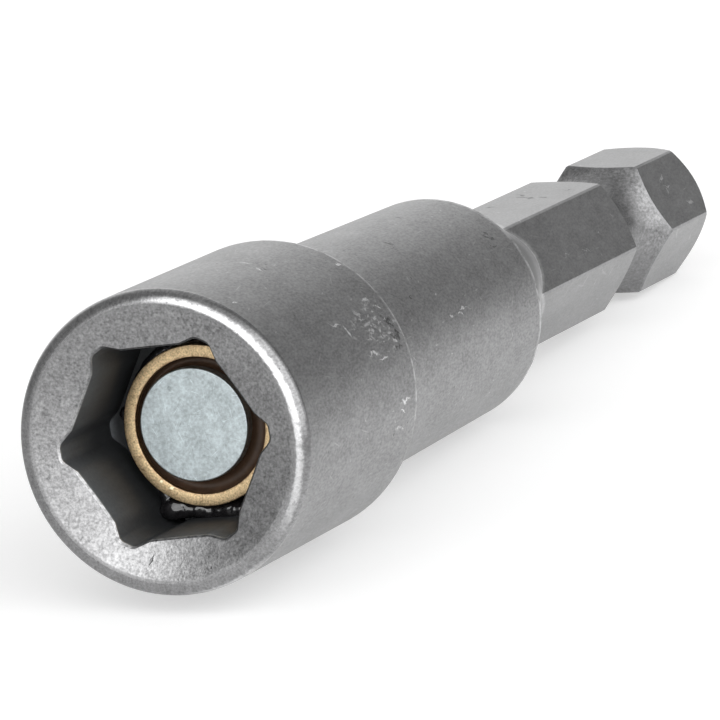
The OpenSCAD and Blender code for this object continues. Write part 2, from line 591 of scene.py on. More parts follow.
class Sky(Nodes):
    """The surroundings: soft panels round an even grey, by azimuth and elevation in degrees."""

    def __init__(self, ambient: float) -> None:
        """Starts with the same light from everywhere."""
        world = bpy.data.worlds.new("studio_surroundings")
        world.use_nodes = True
        bpy.context.scene.world = world
        super().__init__(world.node_tree)
        way = self.add("ShaderNodeTexCoord").outputs["Generated"]
        x, y, z = self.add("ShaderNodeSeparateXYZ", None, {"Vector": way}).outputs
        turn = self.maths("ARCTAN2", Signal(self, x), Signal(self, y) * -1)
        self.azimuth = turn * math.degrees(1)
        self.elevation = self.maths("ARCSINE", Signal(self, z)) * math.degrees(1)
        self.level = ambient

    def hang(self, panel: Panel) -> None:
        """Puts a panel in front of all that is there."""
        across = abs(self.maths("WRAP", self.azimuth - panel.azimuth, 180, -180))
        upwards = abs(self.elevation - panel.elevation)
        soft = panel.softness / 2
        share = across.rise(panel.half_width + soft, panel.half_width - soft)
        share = share * upwards.rise(panel.half_height + soft, panel.half_height - soft)
        self.level = self.level + share * (panel.level - self.level)
        self.feed(self.tree.nodes["Background"].inputs["Color"], self.level)


# Edges of the mouth's outline that are divided: shortest, longest and number of cuts
MOUTH_CUTS = ((2.0, 3.0, 12), (0.5, 0.8, 2), (0.3, 0.5, 4))


@dataclass
class SocketBody:
    """The turned head and barrel with its relieved hex socket. Sizes are millimetres."""

    head_length: float = 13.7
    barrel_front: float = 5.6
    barrel_rear: float = 5.35
    barrel_end: float = 34.3
    rim_round: float = 0.6
    rim_margin: float = 1.02
    head_edge: float = 0.15
    step_fillet: float = 0.3
    barrel_edge: float = 0.12
    dish: float = 0.25
    face_ring: float = 5.1
    front_depth: float = 1.0
    socket_width: float = 8.35
    socket_depth: float = 6.0
    socket_turn: float = 7.0
    relief: float = 1.05
    tip: float = 4.92
    tip_round: float = 0.156
    mouth_flare: float = 0.03
    mouth_edge: float = 0.1
    mouth_steps: int = 3
    pocket_floor: float = 12.25
    pocket_gap: float = 0.04
    seat_start: float = 20.3
    seat_width: float = 6.39
    chip_start: float = 19.1
    chip_radius: float = 3.175
    drill_point: float = 17.2
    drill_web: float = 0.1

    def __post_init__(self) -> None:
        """Reads the head's radius and the pocket's from the frame."""
        self.head_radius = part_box("socket_body")[1].x / MM
        self.rim_reach = self.rim_round * math.tan(math.radians(45) + math.atan(self.dish) / 2)
        self.pocket_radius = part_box("magnet_sleeve")[1].x / MM + self.pocket_gap

    def build(self) -> bpy.types.Object:
        """Models the piece and returns its object."""
        work = Workpiece("turned_socket_body")
        with work.editing():
            self._turn_outside(work)
            self._cut_socket(work)
            self._dish_face(work)
            self._bore_seat(work)
            self._break_edges(work)
        return work.finish(crease=25)

    def _turn_outside(self, work: Workpiece) -> None:
        """Turns the head, the step and the tapered barrel."""
        front = (self._face(self.head_radius), self.head_radius)
        work.ring(*front)
        work.turn_through([
            front,
            (self.head_length, self.head_radius),
            (self.head_length, self.barrel_front),
            (self.barrel_end, self.barrel_rear),
        ])

    def _outline_mouth(self, work: Workpiece) -> None:
        """Draws the relieved hexagon of the mouth, with as many points as a ring has sides.

        It is drawn a little larger than the socket, because the mouth's edge is rounded.
        """
        sharp = corner_radius(self.socket_width)
        work.ring(0, sharp, HEX, HEX_TURN - self.socket_turn)
        work.soften(self.relief, 1, "VERTICES")
        relieved = self.relief * math.sqrt(3)
        work.pick_edges(relieved - CLOSE, relieved + CLOSE)
        bpy.ops.mesh.subdivide(number_cuts=2)
        inner = math.hypot(sharp - self.relief / 2, relieved / 3 / 2)
        work.pick(lambda place: abs(from_axis(place) - inner) < CLOSE)
        work.spread(self.tip / inner)
        work.pick(lambda place: abs(from_axis(place) - self.tip) < CLOSE)
        work.soften(self.tip_round, 4, "VERTICES")
        for shortest, longest, cuts in MOUTH_CUTS:
            work.pick_edges(shortest, longest)
            bpy.ops.mesh.subdivide(number_cuts=cuts)
        bpy.ops.mesh.select_all(action="SELECT")
        work.spread((self.tip + self.mouth_flare) / self.tip)

    def _cut_socket(self, work: Workpiece) -> None:
        """Cuts the hex socket, from its mouth's rounded edge, and the round pocket behind it."""
        bpy.ops.mesh.select_all(action="SELECT")
        bpy.ops.mesh.hide(unselected=False)
        self._outline_mouth(work)
        work.shape(lambda place: Vector((place.x, self._face(from_axis(place)), place.z)))
        bpy.ops.mesh.reveal(select=False)
        mouth = self.face_ring - CLOSE
        self._pick_front(work, mouth)
        start, edge = self.tip + self.mouth_flare, self.mouth_edge
        angles = [math.radians(90 * step / self.mouth_steps) for step in range(self.mouth_steps + 1)]
        rounding = [(edge * (1 - math.cos(angle)), start - edge * math.sin(angle)) for angle in angles]
        work.turn_through([*rounding, (self.socket_depth, start - edge)])
        work.flatten(self.socket_depth)
        depths = (self.socket_depth, self.pocket_floor)
        work.bore([(depth, self.pocket_radius) for depth in depths], mouth)

    def _dish_face(self, work: Workpiece) -> None:
        """Joins the head's rim to the socket's mouth by the dished front face."""
        crest = self.head_radius - self.rim_reach * self.rim_margin
        radii = (self.head_radius, crest, self.face_ring)
        stations = [(self._face(radius), radius) for radius in radii]
        work.pick_ring(*stations[0])
        work.turn_through(stations)
        self._pick_front(work, self.face_ring + CLOSE)
        bpy.ops.mesh.bridge_edge_loops()

    def _pick_front(self, work: Workpiece, reach: float) -> None:
        """Selects the points of the front face within a distance of the axis."""
        work.pick(lambda place: place.y < self.front_depth and from_axis(place) < reach)

    def _face(self, radius: float) -> float:
        """Station of the dished face at a distance from the axis, with the rim's crest at 0."""
        return self.dish * (self.head_radius - radius) + self.rim_round - self.rim_reach

    def _bore_seat(self, work: Workpiece) -> None:
        """Bores the hex seat of the shank and the drilled space beyond it."""
        corner = corner_radius(self.seat_width)
        inside = corner + CLOSE
        work.ring(self.barrel_end, corner, HEX, HEX_TURN)
        bpy.ops.mesh.subdivide(number_cuts=SIDES // HEX - 1)
        work.join_rings(self.barrel_end)
        work.pick(lambda place: place.y > self.barrel_end - NEAR and from_axis(place) < inside)
        work.turn_through([(self.barrel_end, corner), (self.seat_start, corner)])
        drilled = [(self.seat_start, self.chip_radius), (self.chip_start, self.chip_radius)]
        work.bore([*drilled, (self.drill_point, self.drill_web)], inside)

    def _break_edges(self, work: Workpiece) -> None:
        """Rounds the rim, the head's rear edge, the step and the rear rim."""
        for y, radius, reach, steps in (
            (self._face(self.head_radius), self.head_radius, self.rim_reach, 14),
            (self.head_length, self.head_radius, self.head_edge, 4),
            (self.head_length, self.barrel_front, self.step_fillet, 5),
            (self.barrel_end, self.barrel_rear, self.barrel_edge, 4),
        ):
            work.pick_ring(y, radius)
            work.soften(reach, steps)


@dataclass
class HexShank:
    """The drawn hex shank with its conical collar, ball groove and chamfered end, in millimetres."""

    corner_radius_turned: float = 3.625
    spigot_start: float = 20.3
    spigot_lead: float = 0.6
    cone_start: float = 34.3
    cone_length: float = 6.75
    cone_bury: float = 0.3
    groove_from_end: float = 9.5
    groove_width: float = 5.7
    groove_radius: float = 2.35
    groove_steps: int = 24
    groove_margin: float = 1.2
    overrun: float = 1.0
    tip_length: float = 1.0
    tip_radius: float = 3.1
    edge_width: float = 0.05

    def __post_init__(self) -> None:
        """Reads the width across the flats, the cone's size and the tool's end from the frame."""
        low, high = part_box("hex_shank")
        self.end = high.y / MM
        self.cone_radius = high.x / MM
        tail = high.y - 2 * self.tip_length * MM
        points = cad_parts["hex_shank"].data.vertices
        self.flat = max(point.co.z for point in points if point.co.y > tail) / MM

    def build(self) -> bpy.types.Object:
        """Models the piece and returns its object."""
        ends = (self.spigot_start - self.overrun, self.end + self.overrun)
        bar = [(end, corner_radius(2 * self.flat)) for end in ends]
        work = Workpiece.turned("drawn_hex_shank", bar, HEX, HEX_TURN)
        work.combine(self._turned_blank(), Cut.KEEP_COMMON)
        work.combine(self._cone(), Cut.JOIN)
        work.combine(self._groove(), Cut.TAKE_AWAY)
        width, sharp = self.edge_width * MM, math.radians(10)
        work.apply("BEVEL", width=width, segments=2, limit_method="ANGLE", angle_limit=sharp)
        return work.finish(crease=20)

    def _turned_blank(self) -> Workpiece:
        """The bar's corners as turned, with the chamfers of both ends."""
        return Workpiece.turned("turned_blank", [
            (self.spigot_start, self.corner_radius_turned - self.spigot_lead),
            (self.spigot_start + self.spigot_lead, self.corner_radius_turned),
            (self.end - self.tip_length, self.corner_radius_turned),
            (self.end, self.tip_radius),
        ])

    def _cone(self) -> Workpiece:
        """The conical collar that runs out on the flats."""
        buried = self.flat - self.cone_bury
        slope = (self.cone_radius - self.flat) / self.cone_length
        return Workpiece.turned("cone", [
            (self.cone_start, self.cone_radius),
            (self.cone_start + (self.cone_radius - buried) / slope, buried),
        ])

    def _groove(self) -> Workpiece:
        """The ring that cuts the round groove."""
        depth = self.corner_radius_turned - self.groove_radius
        rounding = ((self.groove_width / 2) ** 2 + depth ** 2) / (2 * depth)
        middle = self.end - self.groove_from_end
        swing = math.asin(self.groove_width / 2 / rounding) * self.groove_margin
        outer = self.corner_radius_turned + self.overrun
        reach = rounding * math.sin(swing)
        steps = self.groove_steps
        angles = [swing * (2 * step / steps - 1) for step in range(steps + 1)]
        arc = [
            (middle + rounding * math.sin(angle), self.groove_radius + rounding * (1 - math.cos(angle)))
            for angle in angles
        ]
        start = (middle - reach, outer)
        return Workpiece.turned("groove_cutter", [start, *arc, (middle + reach, outer), start])


# Blobs of glue: angle from straight up to +X, distance from the axis, size, height above the floor
GLUE_BLOBS = (
    (-154, 4.4, 0.48, 0.55), (-158, 4.12, 0.48, 0.95), (-148, 3.95, 0.42, 0.35),
    (-165, 3.93, 0.43, 0.85), (-172, 3.88, 0.41, 0.75), (180, 3.86, 0.4, 0.7),
    (172, 3.88, 0.41, 0.8), (165, 3.93, 0.42, 0.9), (158, 4.05, 0.42, 0.8), (151, 4.15, 0.4, 0.4),
    (-163, 3.9, 0.42, 0.15), (-173, 3.9, 0.42, 0.15), (177, 3.9, 0.42, 0.15),
    (167, 3.9, 0.42, 0.15), (157, 3.95, 0.42, 0.15), (-88, 4.0, 0.36, 0.05),
    (-79, 4.5, 0.18, 0.25), (-118, 3.75, 0.35, 0.0), (30, 3.85, 0.35, 0.1), (95, 3.85, 0.36, 0.1),
)


@dataclass
class MagnetUnit:
    """The sleeved magnet at the socket's bottom, with its resin and its glue, in millimetres."""

    sleeve_edge: float = 0.045
    magnet_edge: float = 0.07
    creep: float = 0.16
    sag: float = 0.1
    resin_rings: int = 6
    floor: float = 6.0
    bead_radius: float = 0.3
    bead_gap: float = 0.1
    bead_sink: float = 0.05
    bead_grain: float = 0.06
    ripple_size: float = 0.6
    ripple_height: float = 0.18

    def __post_init__(self) -> None:
        """Reads the places of the unit's pieces from the frame."""
        low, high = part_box("magnet_sleeve")
        self.sleeve_face, self.sleeve_radius, self.bottom = low.y / MM, high.x / MM, high.y / MM
        low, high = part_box("potting_ring")
        self.resin_face, self.bore = low.y / MM, high.x / MM
        low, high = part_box("magnet")
        self.magnet_face, self.magnet_radius = low.y / MM, (high.x - low.x) / 2 / MM
        self.shift = Vector(((low.x + high.x) / 2 / MM, 0, (low.z + high.z) / 2 / MM))

    def sleeve(self) -> bpy.types.Object:
        """Turns the brass sleeve, with the edges of its face broken."""
        start = (self.sleeve_face, self.bore)
        work = Workpiece.turned("turned_brass_sleeve", [
            start,
            (self.sleeve_face, self.sleeve_radius),
            (self.bottom, self.sleeve_radius),
            (self.bottom, self.bore),
            start,
        ])
        with work.editing():
            work.round_face(self.sleeve_face, self.sleeve_edge, 3)
        return work.finish(crease=30)

    def magnet(self) -> bpy.types.Object:
        """Turns the magnet with its rounded rim and shifts it to where it is glued."""
        ends = (self.magnet_face, self.bottom)
        work = Workpiece.turned("plated_magnet", [(end, self.magnet_radius) for end in ends])
        with work.editing():
            bpy.ops.mesh.select_all(action="SELECT")
            bpy.ops.transform.translate(value=self.shift * MM)
            work.round_face(self.magnet_face, self.magnet_edge, 5)
        return work.finish(crease=30)

    def resin(self) -> bpy.types.Object:
        """Pours the resin between magnet and sleeve, with its face crept up both walls."""
        work = Workpiece("potting_resin")
        with work.editing():
            work.ring(self.resin_face, self.magnet_radius)
            bpy.ops.transform.translate(value=self.shift * MM)
            work.ring(self.resin_face, self.bore)
            bpy.ops.mesh.select_all(action="SELECT")
            bpy.ops.mesh.bridge_edge_loops(number_cuts=self.resin_rings, interpolation="LINEAR")
            work.shape(self._crept)
            bpy.ops.mesh.select_all(action="SELECT")
            bpy.ops.mesh.region_to_loop()
            bpy.ops.mesh.extrude_edges_move(
                TRANSFORM_OT_translate={"value": (0, (self.bottom - self.resin_face) * MM, 0)}
            )
            work.flatten(self.bottom)
            bpy.ops.mesh.bridge_edge_loops()
        return work.finish(crease=40)

    def _crept(self, place: Vector) -> Vector:
        """A point of the resin's face, raised near the walls and sagging between them."""
        outer = self.bore - from_axis(place)
        inner = from_axis(place - self.shift) - self.magnet_radius
        share = max(0.0, min(1.0, inner / max(inner + outer, NEAR)))
        level = self.sag * 4 * share * (1 - share) - self.creep * abs(2 * share - 1) ** 3
        return Vector((place.x, place.y + level, place.z))

    def glue(self) -> bpy.types.Object:
        """Squeezes the glue out round the sleeve's foot: a bead with blobs in it, run together."""
        work = Workpiece("squeezed_out_glue")
        with work.editing():
            bpy.ops.mesh.primitive_torus_add(
                location=(0, (self.floor - self.bead_sink) * MM, 0),
                rotation=(math.radians(90), 0, 0),
                major_radius=(self.sleeve_radius + self.bead_gap) * MM,
                minor_radius=self.bead_radius * MM,
                major_segments=96,
                minor_segments=16,
            )
            for turn, radius, size, lift in GLUE_BLOBS:
                across, upwards = math.sin(math.radians(turn)), math.cos(math.radians(turn))
                bpy.ops.mesh.primitive_uv_sphere_add(
                    segments=24,
                    ring_count=16,
                    radius=size * MM,
                    location=(radius * across * MM, (self.floor - lift) * MM, radius * upwards * MM),
                )
        work.apply("REMESH", mode="VOXEL", voxel_size=self.bead_grain * MM)
        work.apply("SMOOTH", factor=0.5, iterations=16)
        ripple = bpy.data.textures.new("glue_ripple", "CLOUDS")
        ripple.noise_scale = self.ripple_size * MM
        height = self.ripple_height * MM
        work.apply("DISPLACE", texture=ripple, texture_coords="LOCAL", strength=height, mid_level=0.5)
        return work.finish(crease=180)


# Marks on the head and barrel, unrolled. Each has its place (across from the top, along the tool),
# its turn from across towards along, and half its length and width
LIGHT_NICKS: tuple[Mark, ...] = (
    ((3.13, 1.7), 70, 0.16, 0.13), ((2.69, 6.3), 40, 0.1, 0.11), ((0.95, 8.0), 15, 0.5, 0.06),
    ((1.9, 7.4), -10, 0.35, 0.06), ((6.6, 24.2), 75, 0.4, 0.1), ((6.75, 23.6), 50, 0.25, 0.08),
    ((5.4, 22.0), 80, 0.1, 0.11), ((6.7, 22.4), 60, 0.12, 0.11), ((10.5, 12.1), 85, 0.35, 0.1),
    ((10.9, 11.8), 60, 0.25, 0.1), ((11.7, 11.6), 80, 0.4, 0.08), ((6.1, 7.4), 65, 0.35, 0.1),
    ((6.6, 8.2), 10, 0.3, 0.08), ((5.7, 12.0), 40, 0.3, 0.11), ((6.2, 12.6), 70, 0.3, 0.1),
    ((7.3, 11.4), -40, 0.28, 0.1), ((8.0, 9.6), 60, 0.5, 0.1), ((8.4, 10.6), 80, 0.3, 0.08),
    ((7.8, 12.4), 20, 0.25, 0.1), ((3.6, 13.1), 50, 0.25, 0.1),
)
DARK_DENTS: tuple[Mark, ...] = (
    ((2.15, 22.9), 20, 0.4, 0.09), ((2.5, 22.5), 50, 0.2, 0.08), ((3.95, 32.0), 30, 0.4, 0.16),
    ((4.5, 31.6), 80, 0.3, 0.12), ((1.5, 8.4), 10, 0.4, 0.05), ((2.0, 7.7), -25, 0.35, 0.06),
    ((7.0, 12.6), 30, 0.5, 0.2), ((7.7, 12.9), 60, 0.5, 0.22), ((8.2, 12.5), 80, 0.35, 0.15),
    ((5.2, 19.2), 40, 0.12, 0.07), ((0.6, 28.4), 15, 0.3, 0.06),
)
FACE_NICK: Mark = ((-0.76, -5.1), 65, 0.3, 0.08)


@dataclass(frozen=True)
class BlastedSteel:
    """Bead-blasted steel of the head and barrel, painted with highlights on its edges and shade in the
    socket.

    A pair of distances says where a zone's soft edge starts and ends. Sizes are millimetres.
    """

    colour: Colour = (0.29, 0.29, 0.293)
    roughness: float = 0.375
    face_roughness: float = 0.33
    rim_roughness: float = 0.25
    inside_roughness: float = 0.55
    inside_metal: float = 0.3
    inside_tint: Colour = (0.117, 0.124, 0.132)
    # Tones of the painted shade in the socket, from the mouth to the depth, and the strength of painted
    # light near its floor on the left
    mouth_shade_tone: float = 0.75
    deep_shade_tone: float = 0.34
    depth_curve: float = 0.6
    socket_floor_light: float = 4.2
    face_grain: float = 1.3
    marring: float = 0.5
    dent_share: float = 1.4
    # Strengths of painted highlights on the rear edges, the rim's band and the mouth's edge
    edge_wear_highlight: float = 1.4
    shine: float = 1.25
    mouth_highlight: float = 1.2
    face_skin: Station = (0.06, 0.03)
    face_end: Station = (6.0, 5.9)
    mouth_start: Station = (0.1, 0.25)
    mouth_reach: Station = (5.15, 5.0)
    walls: Station = (0.0, 4.5)
    floor: Station = (5.6, 5.9)
    rim_start: Station = (5.95, 6.1)
    rim_end: Station = (0.7, 0.5)
    hairlines: Scatter = Scatter(1.5, 0.3, 0.4, 0.03)
    nicks: Scatter = Scatter(0.8, 0.25, 0.12, 0.045)
    knocks: Scatter = Scatter(0.45, 0.7, 0.34, 0.13)
    knocked_at: Station = (7.0, 11.2)

    def material(self, body: SocketBody) -> bpy.types.Material:
        """Builds the material, with its zones at the body's own sizes."""
        steel = Surface("blasted_steel", 1.0, self.roughness)
        face_depth = steel.y + steel.radius * body.dish - body.dish * body.head_radius
        face_depth = face_depth - body.rim_round + body.rim_reach
        face = abs(face_depth).rise(*self.face_skin) * steel.radius.rise(*self.face_end)
        inside = face_depth.rise(*self.mouth_start) * steel.radius.rise(*self.mouth_reach)
        rim = steel.radius.rise(*self.rim_start) * steel.y.rise(*self.rim_end)
        slid = steel.slid()
        grain, coarse = steel.noise(0.11, 2, slid), steel.noise(0.15, 2)
        mottle, stain = steel.noise(1.6, 3, slid), steel.noise(0.45, 3, slid)
        tone = steel.tone((grain, 1.2), (mottle, 0.5), (stain, 0.5))
        tone = tone + face * (coarse - 0.5) * self.face_grain
        pits = self._pits(steel, face)
        tone = tone * (1 - pits.most(self._dents(steel, face) * self.dent_share) * self.marring)
        # Painted highlights on the rear edges, and light scuffs
        tone = tone + self._edge_wear_highlights(steel, body) * self.edge_wear_highlight + self._scuffs(steel, face)
        # Painted highlight on the rim's worn band
        tone = tone + self._rim_band_highlight(steel) * self.shine
        # Painted highlight on the mouth's edge
        tone = tone + self._mouth_edge_highlight(steel, face_depth) * self.mouth_highlight
        roughness = self.roughness + (stain - 0.5) * 0.08
        levels = (rim, self.rim_roughness), (inside, self.inside_roughness), (face, self.face_roughness)
        for zone, level in levels:
            roughness = roughness + zone * (level - self.roughness)
        steel.feed(steel.shader.inputs["Metallic"], 1 - inside * (1 - self.inside_metal))
        steel.relief(grain * 0.003 + face * coarse * 0.008 - pits * 0.02)
        walls = self._shaded_walls(steel, face_depth, coarse)
        return steel.paint(steel.blend(inside, steel.colour(self.colour, tone), walls), roughness)

    def _shaded_walls(self, steel: Surface, face_depth: Signal, coarse: Signal) -> bpy.types.NodeSocket:
        """The socket's dark walls, streaked by the broach, with painted shade deeper inwards and
        painted light near its floor on the left.
        """
        depth = face_depth.rise(*self.walls) ** self.depth_curve
        # Painted shade, darker with depth, and painted light near the floor on the left
        dark = self.mouth_shade_tone + (self.deep_shade_tone - self.mouth_shade_tone) * depth
        dark = dark + face_depth.rise(*self.floor) * steel.facing(-100, 0.3, 0.9) * self.socket_floor_light
        streaks = steel.noise(0.3, 3, steel.vector(steel.x, steel.y * 0.12, steel.z))
        return steel.colour(self.inside_tint, dark * (0.45 + streaks * 0.5 + coarse * 0.6))

    def _pits(self, steel: Surface, face: Signal) -> Signal:
        """Dark pits, and one nick in the front face."""
        pits = steel.pits(0.5, 0.1, 0.12).most(steel.pits(1.3, 0.1, 0.07))
        return pits.most(steel.mark((steel.x, steel.z), FACE_NICK) * face)

    def _dents(self, steel: Surface, face: Signal) -> Signal:
        """Dark dents where the tool was knocked, patchy inside."""
        dents = steel.marks(steel.wobbled(steel.unrolled(), 0.35, 0.9), DARK_DENTS, DRAWN_OUT)
        return dents * steel.noise(0.16, 2).rise(0.3, 0.55) * (1 - face)

    def _edge_wear_highlights(self, steel: Surface, body: SocketBody) -> Signal:
        """Painted highlights on worn lines in front of the rear edges of the head and of the barrel."""
        head = abs(steel.y - body.head_length + 0.1).rise(0.26, 0.06) * steel.radius.rise(6.34, 6.46)
        head = head * (1 - steel.around().rise(1.5, 1.9) * 0.8) * 0.8
        rear = abs(steel.y - body.barrel_end + 0.1).rise(0.34, 0.14) * steel.radius.rise(5.02, 5.14)
        return head.most(rear * 0.7) * steel.noise(0.5, 2).rise(0.25, 0.6)

    def _rim_band_highlight(self, steel: Surface) -> Signal:
        """A worn band on the rim, ragged at its edges, painted bright as a highlight.

        It drifts inwards on its way round the right side, and a second painted highlight lies outside
        it below.
        """
        radius = steel.radius + (steel.noise(0.2, 3) - 0.5) * 0.2
        around = steel.around()
        crest = radius - around.rise(0.2, 1.2) * 0.06 - around.rise(1.3, 2.9) * 0.2
        inner = crest.within(6.03, 6.12, 6.28, 6.42) * around.within(-0.2, 0.2, 1.8, 2.3)
        outer = radius.rise(6.48, 6.58) * around.within(2.3, 2.6, 2.8, 3.1) * 0.8
        return inner.most(outer) * steel.y.rise(0.9, 0.7) * steel.noise(0.3, 3).rise(0.2, 0.5)

    def _mouth_edge_highlight(self, steel: Surface, face_depth: Signal) -> Signal:
        """A painted highlight on the lower left of the edge where the socket breaks through the face.
        """
        line = face_depth.within(0.002, 0.012, 0.07, 0.1) * steel.radius.rise(5.15, 5.05)
        return line * steel.facing(-130, -0.1, 0.6) * steel.noise(0.25, 3).rise(0.3, 0.6)

    def _scuffs(self, steel: Surface, face: Signal) -> Signal:
        """Light scratches and nicks, some scattered and some where the tool was knocked."""
        sheet = steel.unrolled(DRAWN_OUT)
        scuffs = steel.scuffs(sheet, self.hairlines) * 0.5
        scuffs = scuffs.most(steel.scuffs(aside(sheet, 40), self.nicks) * 0.6)
        flat = steel.wobbled(steel.unrolled(), 0.7, 0.7)
        across, along = flat[0] - self.knocked_at[0], (flat[1] - self.knocked_at[1]) / DRAWN_OUT
        knocked = (across ** 2 + along ** 2).rise(2.6, 0.3)
        broken = steel.noise(0.14, 2).rise(0.38, 0.54)
        cluster = steel.scuffs(steel.wobbled(aside(sheet, 17), 0.5, 0.4), self.knocks)
        flakes = steel.noise(0.25, 3, steel.vector(*sheet)).rise(0.58, 0.66)
        scuffs = scuffs.most((cluster * broken).most(flakes) * knocked * 1.3)
        chosen = steel.marks(flat, LIGHT_NICKS, DRAWN_OUT) * broken
        return scuffs.most(chosen * 1.8) * (1 - face) * steel.y.rise(0.5, 0.9)


# Marks on the shank's upper flat, placed by x and along the tool
FLAT_DENTS: tuple[Mark, ...] = (
    ((-0.1, 48.8), -10, 0.36, 0.22), ((-0.85, 49.5), -20, 0.55, 0.1), ((0.5, 49.05), -15, 0.32, 0.13),
    ((-0.6, 48.9), 0, 0.5, 0.08), ((0.9, 51.6), 60, 0.3, 0.07), ((-1.1, 45.6), 20, 0.4, 0.08),
)
# Marks on the flat beside it, placed across from its middle and along the tool
FLAT_NICKS: tuple[Mark, ...] = (
    ((0.26, 50.0), 0, 0.07, 0.07), ((0.89, 63.6), 60, 0.3, 0.14), ((-0.75, 61.6), -60, 0.35, 0.06),
    ((-0.3, 61.9), 75, 0.3, 0.06), ((-0.1, 61.5), -20, 0.2, 0.05), ((0.8, 47.4), 70, 0.5, 0.025),
    ((0.6, 44.6), 85, 0.4, 0.03),
)


@dataclass(frozen=True)
class DrawnSteel:
    """Smooth drawn steel of the shank, with the marks of handling, and painted light and shade on its
    collar and in its groove.
    """

    colour: Colour = (0.29, 0.29, 0.293)
    roughness: float = 0.34
    # Painted shade on the collar's cone, and painted highlights on its run-out and along its seam with
    # the flats
    cone_shade: float = 0.42
    run_out_highlight: float = 0.65
    seam_highlight: float = 1.2
    dents: float = 0.8
    nicks: float = 1.1
    light_marks: float = 0.5
    scattered: Scatter = Scatter(1.0, 0.25, 0.22, 0.045)
    streaks: Scatter = Scatter(1.6, 0.3, 0.7, 0.03)

    def material(self, shank: HexShank) -> bpy.types.Material:
        """Builds the material, with its zones at the shank's own sizes."""
        steel = Surface("drawn_steel", 1.0, self.roughness)
        slid = steel.slid()
        grain, mottle = steel.noise(0.11, 2, slid), steel.noise(1.4, 3, slid)
        stain = steel.noise(0.4, 3, slid)
        sine, cosine = math.sin(math.radians(60)), math.cos(math.radians(60))
        upper, lower = steel.x * sine + steel.z * cosine, steel.x * sine - steel.z * cosine
        hexagon = abs(steel.z).most(abs(upper)).most(abs(lower))
        above = hexagon - shank.flat
        slope = (shank.cone_radius - shank.flat) / shank.cone_length
        cone_gap = steel.radius - shank.cone_radius + (steel.y - shank.cone_start) * slope
        cone = abs(cone_gap).rise(0.05, 0.03) * above.rise(0.0, 0.05)
        run_out = (above + (mottle - 0.5) * 0.3).rise(0.75, 0.3)
        seam = (abs(cone_gap) + abs(above)).rise(0.12, 0.03)
        tone = steel.tone((grain, 0.8), (mottle, 0.45), (stain, 0.5))
        # Painted shade on the cone, painted highlights on its run-out and seam, and the groove's
        # painted light and shade
        tone = tone * (1 - cone * self.cone_shade + cone * run_out * self.run_out_highlight)
        tone = (tone + seam * stain * self.seam_highlight) * self._groove_light_and_shade(steel, shank, hexagon)
        tone = tone * (1 - self._dark_marks(steel) * self.dents)
        beside = upper.rise(shank.flat - 0.1, shank.flat - 0.02)
        sheet = steel.wobbled((steel.x * cosine - steel.z * sine, steel.y), 0.4, 0.6)
        tone = tone + steel.marks(sheet, FLAT_NICKS, DRAWN_OUT) * beside * self.nicks
        tone = tone + self._light_marks(steel) * self.light_marks
        steel.relief(grain * 0.002)
        return steel.paint(steel.colour(self.colour, tone), self.roughness + (stain - 0.5) * 0.12)

    def _groove_light_and_shade(self, steel: Surface, shank: HexShank, hexagon: Signal) -> Signal:
        """The coarser turned groove, with painted shade in front and at the bottom and a painted
        highlight on its rear wall.
        """
        middle = shank.end - shank.groove_from_end
        from_middle = steel.y - middle
        sunk = (shank.flat - hexagon).rise(0.03, 0.1) * abs(from_middle).rise(3.0, 2.8)
        coarse = steel.noise(0.14, 2)
        rear = from_middle.rise(1.1, 2.3) * steel.around().rise(2.2, 1.6)
        lower = steel.around().rise(1.7, 2.1)
        change = (coarse - 0.5) * 0.7 * (1 - lower * 0.6) + rear * (coarse - 0.6) * 0.7
        return 1 + sunk * (change - from_middle.rise(1.2, -1.0) * 0.3 - lower * 0.15)

    def _dark_marks(self, steel: Surface) -> Signal:
        """Short dark dents in the upper flat, and pits."""
        sheet = steel.wobbled((steel.x, steel.y), 0.4, 0.5)
        dents = steel.marks(sheet, FLAT_DENTS, DRAWN_OUT) * steel.z.rise(2.9, 3.1)
        return dents.most(steel.pits(0.7, 0.08, 0.09))

    def _light_marks(self, steel: Surface) -> Signal:
        """Light nicks and fine streaks, scattered."""
        sheet = steel.unrolled(DRAWN_OUT)
        streaks = steel.scuffs(aside(sheet, 30), self.streaks)
        return steel.scuffs(sheet, self.scattered).most(streaks * 0.6)


# Painted glints on the sleeve's face: (x, z), turn, half length, half width
BRASS_PAINTED_GLINTS: tuple[Mark, ...] = (((-1.9, -2.51), 20, 0.12, 0.09), ((-1.43, -2.79), 15, 0.17, 0.1))


@dataclass(frozen=True)
class Brass:
    """Matt speckled brass of the sleeve, stained reddish brown along its edges, with two painted glints
    on its face.
    """

    colour: Colour = (0.69, 0.525, 0.31)
    stain: Colour = (0.2, 0.09, 0.05)
    # Colour of the painted glints
    glint_colour: Colour = (1.0, 0.93, 0.66)
    roughness: float = 0.42

    def material(self, unit: MagnetUnit) -> bpy.types.Material:
        """Builds the material, with its edges at the sleeve's own sizes."""
        brass = Surface("matt_brass", 1.0, self.roughness)
        grain = brass.noise(0.09, 2)
        tone = brass.tone((grain, 1.7), (brass.noise(0.4, 3), 0.7), middle=1.04)
        tone = tone * (1 - brass.pits(0.2, 0.25, 0.16) * 0.35)
        # Two painted glints, blended over the brass last
        painted_glint = brass.marks((brass.x, brass.z), BRASS_PAINTED_GLINTS)
        uneven = (brass.noise(0.25, 2) - 0.5) * 0.3
        outer = (brass.radius + uneven).rise(unit.sleeve_radius - 0.1, unit.sleeve_radius + 0.04)
        inner = (brass.radius + uneven).rise(unit.bore + 0.12, unit.bore - 0.02)
        stained = (outer.most(inner * 0.8) * 0.7).most(brass.noise(0.22, 3).rise(0.57, 0.72) * 0.55)
        brass.relief(grain * 0.01)
        dull = brass.blend(stained, brass.colour(self.colour, tone), brass.colour(self.stain, tone))
        return brass.paint(brass.blend(painted_glint, dull, self.glint_colour))


